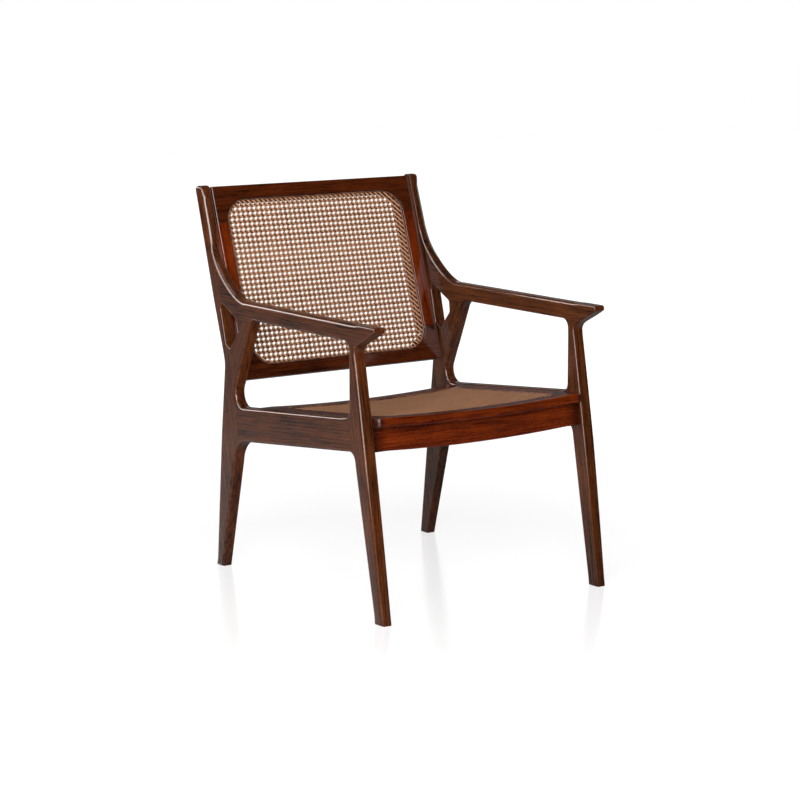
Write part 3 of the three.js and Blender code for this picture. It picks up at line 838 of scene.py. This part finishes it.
def stations(own):
    """Stations round a window: a centre and a direction; centre + direction * radius is on the window.

    Each arc has a station that points at the corner of the frame's outer rectangle.
    """
    radius = own.sizes.opening
    middle = (own.low + own.high) / 2
    across = own.half - radius
    along = (own.high - own.low) / 2 - radius
    signs = ((1, -1), (1, 1), (-1, 1), (-1, -1))
    centres = [complex(x * across, middle + y * along) for x, y in signs]
    found = []
    for quarter, centre in enumerate(centres):
        x, y = signs[quarter]
        first = cmath.rect(1, math.radians(90 * (quarter - 1)))
        aim = complex(x * own.outer, own.depth if y > 0 else 0) - centre
        split = abs(cmath.phase(aim / first))
        turns = [split * k / CORNER_STEPS for k in range(CORNER_STEPS)]
        turns += [split + (math.pi / 2 - split) * k / CORNER_STEPS for k in range(CORNER_STEPS + 1)]
        found += [(centre, first * cmath.rect(1, turn)) for turn in turns]
        run = centres[(quarter + 1) % len(centres)] - centre
        found += [(centre + run * k / RUN_STEPS, first * 1j) for k in range(1, RUN_STEPS)]
    return found


def reach(centre, direction, half_width, depth, by, corner):
    """Distance from a centre, along a direction, to a rectangle inset all round and rounded in front."""

    def inside(at):
        x, y = abs(at.real), at.imag
        if x > half_width - by or y > depth - by or y < by:
            return False
        past_x, past_y = x - (half_width - corner), corner - y
        if past_x > 0 and past_y > 0:
            return math.hypot(past_x, past_y) < corner - by
        return True

    low, high = 0.0, FAR_OUT
    for _ in range(REACH_HALVINGS):
        middle = (low + high) / 2
        if inside(centre + direction * middle):
            low = middle
        else:
            high = middle
    return low


def quarter_turn(radius):
    """Pairs of sideways inset and depth along a rounded edge, from its face to its side."""
    turns = [math.pi / 2 * k / EDGE_STEPS for k in range(EDGE_STEPS + 1)]
    return [(radius * (1 - math.sin(t)), radius * (1 - math.cos(t))) for t in turns]


def loft(sections):
    """A closed ring mesh through sections of places and heights."""
    bm = bmesh.new()
    rings = [[bm.verts.new((p.real, p.imag, z)) for p, z in section] for section in sections]
    for ring, after in zip(rings, rings[1:] + rings[:1]):
        for i in range(len(ring)):
            j = (i + 1) % len(ring)
            bm.faces.new((ring[i], ring[j], after[j], after[i]))
    return bm


def cut(bm, at, normal):
    """Removes what lies on the normal's side of a plane, and closes the cut."""
    whole = bm.verts[:] + bm.edges[:] + bm.faces[:]
    result = bmesh.ops.bisect_plane(bm, geom=whole, dist=1e-7, plane_co=at, plane_no=normal, clear_outer=True)
    edges = [e for e in result["geom_cut"] if isinstance(e, bmesh.types.BMEdge)]
    bmesh.ops.edgeloop_fill(bm, edges=edges)


def frame_sections(own, cane):
    """Sections of a frame with a rebate round its window and perhaps a tongue, one for each station."""
    thick = own.sizes.thick
    ledge = thick - cane.rebate_depth
    lip = quarter_turn(cane.lip)
    edge = quarter_turn(own.sizes.edge)
    low_tongue, high_tongue = (thick - own.tongue) / 2, (thick + own.tongue) / 2
    sections = []
    for centre, direction in stations(own):

        def on_window(by):
            return centre + direction * (own.sizes.opening - by)

        def on_edge(by, half=own.outer):
            return centre + direction * reach(centre, direction, half, own.depth, by, own.corner)

        section = [(on_window(cane.rebate), ledge), (on_window(0), ledge)]
        section += [(on_window(-by), thick - down) for by, down in reversed(lip)]
        section += [(on_edge(by), thick - down) for by, down in edge]
        if own.tongue:
            section += [(on_edge(0), high_tongue), (on_edge(0, FRONT.x), high_tongue)]
            section += [(on_edge(0, FRONT.x), low_tongue), (on_edge(0), low_tongue)]
        section += [(on_edge(by), down) for by, down in reversed(edge)]
        section += [(on_window(cane.rebate - by), down) for by, down in lip]
        sections.append(section)
    return sections


def build_frame(own, cane, glue, parts):
    """Builds the far rail, the near rail, the right side and the left side of a frame.

    A part is its node, its wood and its slot, which is not used. The joints lie just past the roundings of the
    opening.
    """
    sections = frame_sections(own, cane)
    far = own.high - own.sizes.opening - MM
    near = own.low + own.sizes.opening + MM
    gap = glue / 2
    rails_off = [((0, far - gap, 0), (0, 1, 0)), ((0, near + gap, 0), (0, -1, 0))]
    cuts = (
        [((0, far + gap, 0), (0, -1, 0))],
        [((0, near - gap, 0), (0, 1, 0))],
        [*rails_off, ((0, 0, 0), (-1, 0, 0))],
        [*rails_off, ((0, 0, 0), (1, 0, 0))],
    )
    for (name, wood, slot), planes in zip(parts, cuts):
        bm = loft(sections)
        bmesh.ops.remove_doubles(bm, verts=bm.verts, dist=SAME_PLACE)
        for at, normal in planes:
            cut(bm, at, normal)
        for v in bm.verts:
            v.co.z += own.bend(v.co.x) + own.face - own.sizes.thick
        bm.transform(own.place)
        put(finish_mesh(f"{name}_wood", bm, wood), [name])


# Cane

# Heights of the crossing strands and the slanting binders over the middle of the cane, in strand thicknesses
CROSSING_SHARE = 0.52
BINDER_SHARE = 1.15
# Tones run from 0, dark, to 1, light. The binders that lie on top are painted lit and all other strands are
# painted in shade, each strand at random within its range
UPRIGHT_SHADED_TONES = (0.05, 0.4)
LEVEL_SHADED_TONES = (0.0, 0.3)
# Each set of binders: its slant, its share of the binder's width, and its tones, painted lit for the set on
# top
LIT_AND_SHADED_BINDERS = ((-1, 1.2, (0.9, 1.0)), (1, 0.8, (0.0, 0.3)))
END_HALVINGS = 14
SEED = 7


def inside_window(at, half_width, low, high, radius):
    """Whether a place is inside a rounded window."""
    x = abs(at.real) - (half_width - radius)
    y = abs(at.imag - (low + high) / 2) - ((high - low) / 2 - radius)
    if x > 0 and y > 0:
        return math.hypot(x, y) < radius
    return x < radius and y < radius


class Webbing:
    """Collects the strands of a six-way cane sheet as one mesh."""

    def __init__(self, own, cane):
        margin = cane.margin
        self.own = own
        self.cane = cane
        self.window = (own.half - margin, own.low + margin, own.high - margin, own.sizes.opening - margin)
        self.height = own.face - cane.rebate_depth + cane.rise
        self.verts = []
        self.faces = []
        self.tones = []
        self.painted_edge_shades = []
        self.random = random.Random(SEED)

    def strand(self, points, width, tones):
        """One strand through points of (place, height); only what lies inside the window is made."""
        kept = [k for k, (at, _) in enumerate(points) if inside_window(at, *self.window)]
        if len(kept) < 2:
            return
        first, last = kept[0], kept[-1]
        points = [points[k] for k in range(max(first - 1, 0), min(last + 2, len(points)))]
        for end, beside in ((0, 1), (-1, -2)):
            out, within = points[end][0], points[beside][0]
            if not inside_window(out, *self.window):
                for _ in range(END_HALVINGS):
                    half = (out + within) / 2
                    if inside_window(half, *self.window):
                        within = half
                    else:
                        out = half
                points[end] = (within, points[end][1])
        along = points[-1][0] - points[0][0]
        if abs(along) < width:
            return
        side = 1j * along / abs(along) * width / 2
        thick = self.cane.strand_thick / 2
        # A random tone within the set's range; the ranges hold painted light and painted shade
        tone = self.random.uniform(*tones)
        base = len(self.verts)
        # The side corners of a strand's section get 0 and its top and bottom 1; the material darkens the sides
        # as painted shade
        for at, z in points:
            for sideways, up, crown in ((1, 0, 0), (0, 1, 1), (-1, 0, 0), (0, -1, 1)):
                place = at + side * sideways
                self.verts.append((place.real, place.imag, z + up * thick + self.own.bend(place.real)))
                self.tones.append(tone)
                self.painted_edge_shades.append(crown)
        for k in range(len(points) - 1):
            a = base + 4 * k
            for i in range(4):
                j = (i + 1) % 4
                self.faces.append((a + i, a + j, a + 4 + j, a + 4 + i))
        self.faces.append((base + 3, base + 2, base + 1, base))
        a = base + 4 * (len(points) - 1)
        self.faces.append((a, a + 1, a + 2, a + 3))

    def weave(self, shift, tight):
        """Pairs of upright and level strands in plain weave, and binders over one pair and under the other.

        In tight webbing one set of binders lies on top at both pairs, as on the back in the photo.
        """
        cane = self.cane
        half_width, low, high, _ = self.window
        across, along, beside = cane.pitch_across, cane.pitch_along, cane.pair / 2
        over = cane.strand_thick * CROSSING_SHARE
        above = cane.strand_thick * BINDER_SHARE
        middle = complex(0, (low + high) / 2) + shift
        columns = int(half_width / across) + 2
        rows = int((high - low) / 2 / along) + 2
        # Sideways, onwards, number of pairs and their pitch, number of crossings and theirs, height, tones
        layers = (
            (1, 1j, columns, across, rows, along, -over, UPRIGHT_SHADED_TONES),
            (1j, 1, rows, along, columns, across, over, LEVEL_SHADED_TONES),
        )
        for sideways, onwards, pairs, pitch, crossings, step, lift, tones in layers:
            for k in range(-pairs, pairs + 1):
                for hand in (-1, 1):
                    points = []
                    for j in range(-crossings, crossings + 1):
                        at = middle + sideways * (k * pitch + hand * beside) + onwards * (j * step)
                        for past, z in ((-beside, hand * lift), (beside, -hand * lift), (step / 2, 0)):
                            points.append((at + onwards * past, self.height + z))
                    self.strand(points, cane.strand, tones)
        far = columns + rows
        for slant, width, tones in LIT_AND_SHADED_BINDERS:
            for m in range(-far, far + 1):
                points = []
                for n in range(-2 * far, 2 * far + 1):
                    for share in (0.25, 0.75):
                        at_upright = (n + (share > 0.5)) % 2 == 0
                        on_top = slant < 0 if tight else at_upright == (slant > 0)
                        place = complex((n + share) * across / 2, (slant * (n + share) / 2 + m + 0.5) * along)
                        points.append((middle + place, self.height + (above if on_top else -above)))
                self.strand(points, cane.binder * width, tones)

    def build(self, name, material):
        """The sheet's object, with each strand's tone and its painted edge shade as attributes for the
        material.
        """
        mesh = bpy.data.meshes.new(name)
        mesh.from_pydata([self.own.place @ Vector(v) for v in self.verts], [], self.faces)
        for label, values in (("strand", self.tones), ("crown", self.painted_edge_shades)):
            mesh.attributes.new(label, "FLOAT", "POINT").data.foreach_set("value", values)
        return new_object(name, mesh, material)


def reed_spline(name, own, cane, material):
    """The reed bead that holds the cane in its groove."""
    under = own.face - cane.rebate_depth + cane.spline_rise
    turns = [math.pi * k / BEAD_STEPS for k in range(BEAD_STEPS + 1)]
    sections = []
    for centre, direction in stations(own):
        section = []
        for turn in turns:
            by = cane.spline_margin + cane.spline * (1 - math.cos(turn)) / 2
            at = centre + direction * (own.sizes.opening - by)
            section.append((at, under + cane.spline_high * math.sin(turn)))
        sections.append(section)
    bm = loft(sections)
    for v in bm.verts:
        v.co.z += own.bend(v.co.x)
    bm.transform(own.place)
    return finish_mesh(name, bm, material)


# Operators

# Grain of a back leg between plumb and the rake, and lean of the brace
LEG_RAKE_SHARE = 0.55
BRACE_LEAN = -0.6
# Each member of a side frame starts this much further along the board
BOARD_STEP = 0.37
# The wood's colour darkens between these two distances from the side frames, as painted shade of the legs
SEAT_RAIL_SHADED_ENDS = (0.022, 0.012)
APRON_SHADED_ENDS = (0.04, 0.01)
# Rounding of the edges of the CAD nodes that stay
EASED = {"screw": 0.0004, "corner_block": 0.0015, "apron": 0.002}


def sizes():
    """The user's sizes and colours."""
    scene = bpy.context.scene
    return scene.chair_side, scene.chair_panel, scene.chair_seat, scene.chair_cane, scene.chair_colours


class CHAIR_OT_side_frames(bpy.types.Operator):
    """Builds the ten members of the two side frames"""

    bl_idname = "chair.side_frames"
    bl_label = "Side frames"

    def execute(self, context):
        side, panel, seat, _, tones = sizes()
        slopes = {
            "front_leg": (0, side.front_run, side.shoulder),
            "side_rail": (0, math.cos(seat.slope), -math.sin(seat.slope)),
            "back_leg": (0, math.tan(panel.rake) * LEG_RAKE_SHARE, 1),
            "brace": (0, BRACE_LEAN, 1),
            "arm": (0, 1, 0),
        }
        for number, (name, spans) in enumerate(members(*side_loops(side, panel, seat)).items()):
            wood = lacquered_hardwood(name, tones, "frame", slopes[name], BOARD_STEP * number)
            for hand in ("right", "left"):
                piece = finish_mesh(f"{hand}_{name}_wood", member_mesh(spans, side), wood, hand == "left")
                put(piece, [f"{hand}_{name}"])
        return {"FINISHED"}


class CHAIR_OT_back_panel(bpy.types.Operator):
    """Builds the rails and stiles of the back panel"""

    bl_idname = "chair.back_panel"
    bl_label = "Back panel"

    def execute(self, context):
        side, panel, _, cane, tones = sizes()
        up = (0, math.sin(panel.rake), math.cos(panel.rake))
        bright = lacquered_hardwood("stile", tones, "bright", up, 2.1)
        dark = lacquered_hardwood("back_rail", tones, "rail", (1, 0, 0), 3.3)
        parts = (
            ("back_top_rail", dark, "dark_wood"),
            ("back_bottom_rail", dark, "dark_wood"),
            ("back_stile_right", bright, "bright_wood"),
            ("back_stile_left", bright, "bright_wood"),
        )
        build_frame(back_frame(side, panel), cane, side.glue, parts)
        return {"FINISHED"}


class CHAIR_OT_seat_frame(bpy.types.Operator):
    """Builds the rails and sides of the dished seat frame"""

    bl_idname = "chair.seat_frame"
    bl_label = "Seat frame"

    def execute(self, context):
        side, _, seat, cane, tones = sizes()
        back = (0, math.cos(seat.slope), -math.sin(seat.slope))
        # The seat rails' colour darkens at their ends as painted shade of the legs
        ends = [side.inner_half - end for end in SEAT_RAIL_SHADED_ENDS]
        rail = lacquered_hardwood("seat_rail", tones, "bright", (1, 0, 0), 4.7, ends)
        flank = lacquered_hardwood("seat_side", tones, "bright", back, 5.9)
        woods = {
            "seat_rear_rail": rail,
            "seat_front_rail": rail,
            "seat_side_right": flank,
            "seat_side_left": flank,
        }
        parts = [(name, wood, "bright_wood") for name, wood in woods.items()]
        build_frame(seat_frame(side, seat), cane, side.glue, parts)
        return {"FINISHED"}


class CHAIR_OT_webbing(bpy.types.Operator):
    """Weaves the cane of the back and the seat, and lays their splines"""

    bl_idname = "chair.webbing"
    bl_label = "Cane and splines"

    def execute(self, context):
        side, panel, seat, cane, tones = sizes()
        peel = woven_cane("woven_rattan_cane", tones.cane_dark, tones.cane_light)
        bead = stained_reed("stained_reed", tones.reed)
        beside = complex(cane.shift_across, cane.shift_along)
        jobs = (("back", back_frame(side, panel), beside, True), ("seat", seat_frame(side, seat), 0, False))
        for name, own, shift, tight in jobs:
            web = Webbing(own, cane)
            web.weave(shift, tight)
            put(web.build(f"{name}_cane_woven", peel), [f"{name}_cane"])
            put(reed_spline(f"{name}_spline_reed", own, cane, bead), [f"{name}_spline"])
        return {"FINISHED"}


class CHAIR_OT_underside(bpy.types.Operator):
    """Finishes the aprons, corner blocks and screws under the seat"""

    bl_idname = "chair.underside"
    bl_label = "Aprons, blocks and screws"

    def execute(self, context):
        side, *_, tones = sizes()
        # The apron's colour darkens at its ends as painted shade of the legs
        ends = [side.inner_half - end for end in APRON_SHADED_ENDS]
        finishes = {
            "screw": turned_brass("turned_brass", tones.brass),
            "corner_block": lacquered_hardwood("block", tones, "frame", (1, 1, 0), 7.7),
            "apron": lacquered_hardwood("apron", tones, "bright", (1, 0, 0), 6.4, ends),
        }
        for name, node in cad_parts.items():
            for kind, finish in finishes.items():
                if kind in name:
                    node.data.materials.clear()
                    node.data.materials.append(finish)
                    self.ease(node, EASED[kind])
        return {"FINISHED"}

    def ease(self, node, width):
        """Rounds a CAD node's edges without a change to its mesh."""
        bevel = {"width": width, "segments": 3, "limit_method": "ANGLE", "angle_limit": math.radians(50)}
        for name, kind, settings in (
            ("Weld", "WELD", {"merge_threshold": 1e-5}),
            ("Flat faces", "DECIMATE", {"decimate_type": "DISSOLVE", "angle_limit": math.radians(0.5)}),
            ("Eased edges", "BEVEL", bevel),
        ):
            modifier = node.modifiers.new(name, kind)
            for key, value in settings.items():
                setattr(modifier, key, value)


# Stage

FLOOR_HALF = 12
# Share of the floor's own white that mirrors see. It rises between two distances, where the lamps fade out
FLOOR_MIRRORED = 0.03
FLOOR_WHITE = (0.6, 2.4, 0.68, 1.0)
# Ranges and levels of what glossy rays find in the world. The backdrop is behind the chair, in a band 12 to
# 22 degrees over the horizon
BACKDROP_DEPTH = (-0.1, 0.5, 0.03, 1.0)
BACKDROP_LOW = (0.18, 0.23, 0.05, 1.0)
BACKDROP_HIGH = (0.33, 0.42, 1.0, 0.05)
# A long softbox over the left arm, 35 to 55 degrees from straight up
SOFTBOX_LEFT = (-1.5, -1.35, 0.0, 11.0)
SOFTBOX_RIGHT = (-0.8, -0.65, 1.0, 0.0)
SOFTBOX_LOW = (0.08, 0.16, 0.0, 1.0)
WORLD_DIFFUSE = 0.12
# A large box at the front left, a weak one overhead and a weak one on the right: name, place, direction of the
# width, width and height in metres, and watts
LAMPS = (
    ("key_softbox", (-1.9, -2.25, 1.35), (1.0, -0.84, 0.0), (1.9, 2.0), 118),
    ("top_softbox", (-0.6, 0.2, 2.2), (1.0, 0.0, 0.0), (1.2, 1.2), 8),
    ("fill_softbox", (2.8, 0.3, 1.8), (0.0, 1.0, 0.0), (1.5, 1.5), 12),
)
LAMP_AIM = Vector((0, 0, 0.45))
# From the vanishing lines of the chair: degrees to its left, above it, and of roll, through a long lens
CAMERA_AT = (-3.04328, -4.36548, 1.32952)
CAMERA_LEFT, CAMERA_ABOVE, CAMERA_ROLL = 34.92331, 9.92218, -0.11589
CAMERA_LENS = 107.509
CAMERA_FAR = 100


def satin_painted_floor(tone):
    """Studio floor with satin paint, rolled on; the eye gets roller marks of 4 mm and faint mirror images.

    It shows white to the camera and keeps the chair's shadow.
    """
    material, tree, shader = new_material("satin_painted_floor")
    place = add(tree, "ShaderNodeTexCoord").outputs["Object"]
    marks = add(tree, "ShaderNodeTexNoise", {"Vector": place, "Scale": scale_for(4), "Detail": 3.0})
    rough = add(tree, "ShaderNodeMapRange", {0: marks, 3: 0.16, 4: 0.22})
    feed(tree, shader, {"Base Color": (*tone, 1), "Roughness": rough})
    rays = add(tree, "ShaderNodeLightPath").outputs
    seen = add(tree, "ShaderNodeMath", {0: rays["Is Glossy Ray"], 1: FLOOR_MIRRORED}, operation="MULTIPLY")
    for ray in ("Is Camera Ray", "Is Transmission Ray"):
        seen = add(tree, "ShaderNodeMath", {0: seen, 1: rays[ray]}, operation="MAXIMUM")
    away = add(tree, "ShaderNodeVectorMath", {0: place}, operation="LENGTH").outputs["Value"]
    white = add(tree, "ShaderNodeMapRange", dict(enumerate((away, *FLOOR_WHITE))))
    strength = add(tree, "ShaderNodeMath", {0: seen, 1: white}, operation="MULTIPLY")
    glow = add(tree, "ShaderNodeEmission", {"Strength": strength})
    both = add(tree, "ShaderNodeAddShader", {0: shader, 1: glow})
    output = next(n for n in tree.nodes if n.type == "OUTPUT_MATERIAL")
    feed(tree, output, {"Surface": both})
    return material


def studio_world():
    """A dim world that is white to the camera; glossy rays find a backdrop and a long softbox in it."""
    world = bpy.data.worlds.new("studio")
    world.use_nodes = True
    tree = world.node_tree
    tree.nodes.clear()
    where = add(tree, "ShaderNodeTexCoord").outputs["Generated"]
    x, y, z = add(tree, "ShaderNodeSeparateXYZ", {0: where}).outputs
    slope = add(tree, "ShaderNodeMath", {0: x, 1: z}, operation="DIVIDE")
    backdrop = ((y, *BACKDROP_DEPTH), (z, *BACKDROP_LOW), (z, *BACKDROP_HIGH))
    softbox = ((slope, *SOFTBOX_LEFT), (slope, *SOFTBOX_RIGHT), (z, *SOFTBOX_LOW))
    mirrored = 0.0
    for edges in (backdrop, softbox):
        level = 1.0
        for edge in edges:
            fade = add(tree, "ShaderNodeMapRange", dict(enumerate(edge)))
            level = add(tree, "ShaderNodeMath", {0: level, 1: fade}, operation="MULTIPLY")
        mirrored = add(tree, "ShaderNodeMath", {0: mirrored, 1: level}, operation="ADD")
    rays = add(tree, "ShaderNodeLightPath").outputs
    seen = {0: rays["Is Camera Ray"], 1: rays["Is Transmission Ray"]}
    direct = add(tree, "ShaderNodeMath", seen, operation="MAXIMUM")
    level = WORLD_DIFFUSE
    for ray, strength in ((rays["Is Glossy Ray"], mirrored), (direct, 1.0)):
        level = add(tree, "ShaderNodeMix", {0: ray, 2: level, 3: strength}, data_type="FLOAT")
    light = add(tree, "ShaderNodeBackground", {"Color": (1, 1, 1, 1), "Strength": level})
    add(tree, "ShaderNodeOutputWorld", {"Surface": light})
    return world


class CHAIR_OT_stage(bpy.types.Operator):
    """Sets the floor, the lamps, the world and the camera"""

    bl_idname = "chair.stage"
    bl_label = "Stage"

    def execute(self, context):
        scene = context.scene
        bm = bmesh.new()
        bmesh.ops.create_grid(bm, x_segments=8, y_segments=8, size=FLOOR_HALF)
        floor = finish_mesh("studio_floor", bm, satin_painted_floor(scene.chair_colours.floor))
        scene.world = studio_world()

        for name, at, along, size, power in LAMPS:
            data = bpy.data.lights.new(name, "AREA")
            data.shape = "RECTANGLE"
            data.size, data.size_y = size
            data.energy = power
            lamp = bpy.data.objects.new(name, data)
            along = Vector(along).normalized()
            outward = Vector(at) - LAMP_AIM
            outward = (outward - along * outward.dot(along)).normalized()
            turn = Matrix((along, outward.cross(along), outward)).transposed().to_4x4()
            lamp.matrix_world = Matrix.Translation(at) @ turn
            scene.collection.objects.link(lamp)

        eye = bpy.data.objects.new("camera", bpy.data.cameras.new("camera"))
        turn = Matrix()
        for degrees, axis in ((-CAMERA_LEFT, "Z"), (90 - CAMERA_ABOVE, "X"), (CAMERA_ROLL, "Z")):
            turn = turn @ Matrix.Rotation(math.radians(degrees), 4, axis)
        eye.matrix_world = Matrix.Translation(CAMERA_AT) @ turn
        eye.data.lens = CAMERA_LENS
        eye.data.clip_end = CAMERA_FAR
        scene.collection.objects.link(eye)
        scene.camera = eye
        scene.view_settings.view_transform = "Standard"
        return {"FINISHED"}


class CHAIR_PT_build(bpy.types.Panel):
    """Lists the chair's pieces and their sizes"""

    bl_idname = "CHAIR_PT_build"
    bl_label = "Cane armchair"
    bl_space_type = "VIEW_3D"
    bl_region_type = "UI"
    bl_category = "Cane armchair"

    def draw(self, context):
        for operator in OPERATORS:
            self.layout.operator(operator.bl_idname)
        for group in GROUPS:
            box = self.layout.box()
            for name in getattr(context.scene, group).bl_rna.properties.keys():
                if name not in ("rna_type", "name"):
                    box.prop(getattr(context.scene, group), name)


GROUPS = {
    "chair_side": SideFrameSizes,
    "chair_panel": PanelSizes,
    "chair_seat": SeatSizes,
    "chair_cane": CaneSizes,
    "chair_colours": ChairColours,
}
OPERATORS = (
    CHAIR_OT_side_frames,
    CHAIR_OT_back_panel,
    CHAIR_OT_seat_frame,
    CHAIR_OT_webbing,
    CHAIR_OT_underside,
    CHAIR_OT_stage,
)


def register():
    """Registers the classes and gives the scene its sizes and colours."""
    for kind in (*GROUPS.values(), *OPERATORS, CHAIR_PT_build):
        bpy.utils.register_class(kind)
    for name, kind in GROUPS.items():
        setattr(bpy.types.Scene, name, PointerProperty(type=kind))


def unregister():
    """Takes the scene's sizes and colours and the classes away again."""
    for name in GROUPS:
        delattr(bpy.types.Scene, name)
    for kind in (CHAIR_PT_build, *reversed(OPERATORS), *reversed(list(GROUPS.values()))):
        bpy.utils.unregister_class(kind)


def main():
    """Builds the chair and its stage."""
    register()
    bpy.ops.chair.side_frames()
    bpy.ops.chair.back_panel()
    bpy.ops.chair.seat_frame()
    bpy.ops.chair.webbing()
    bpy.ops.chair.underside()
    bpy.ops.chair.stage()


if __name__ == "__main__":
    main()
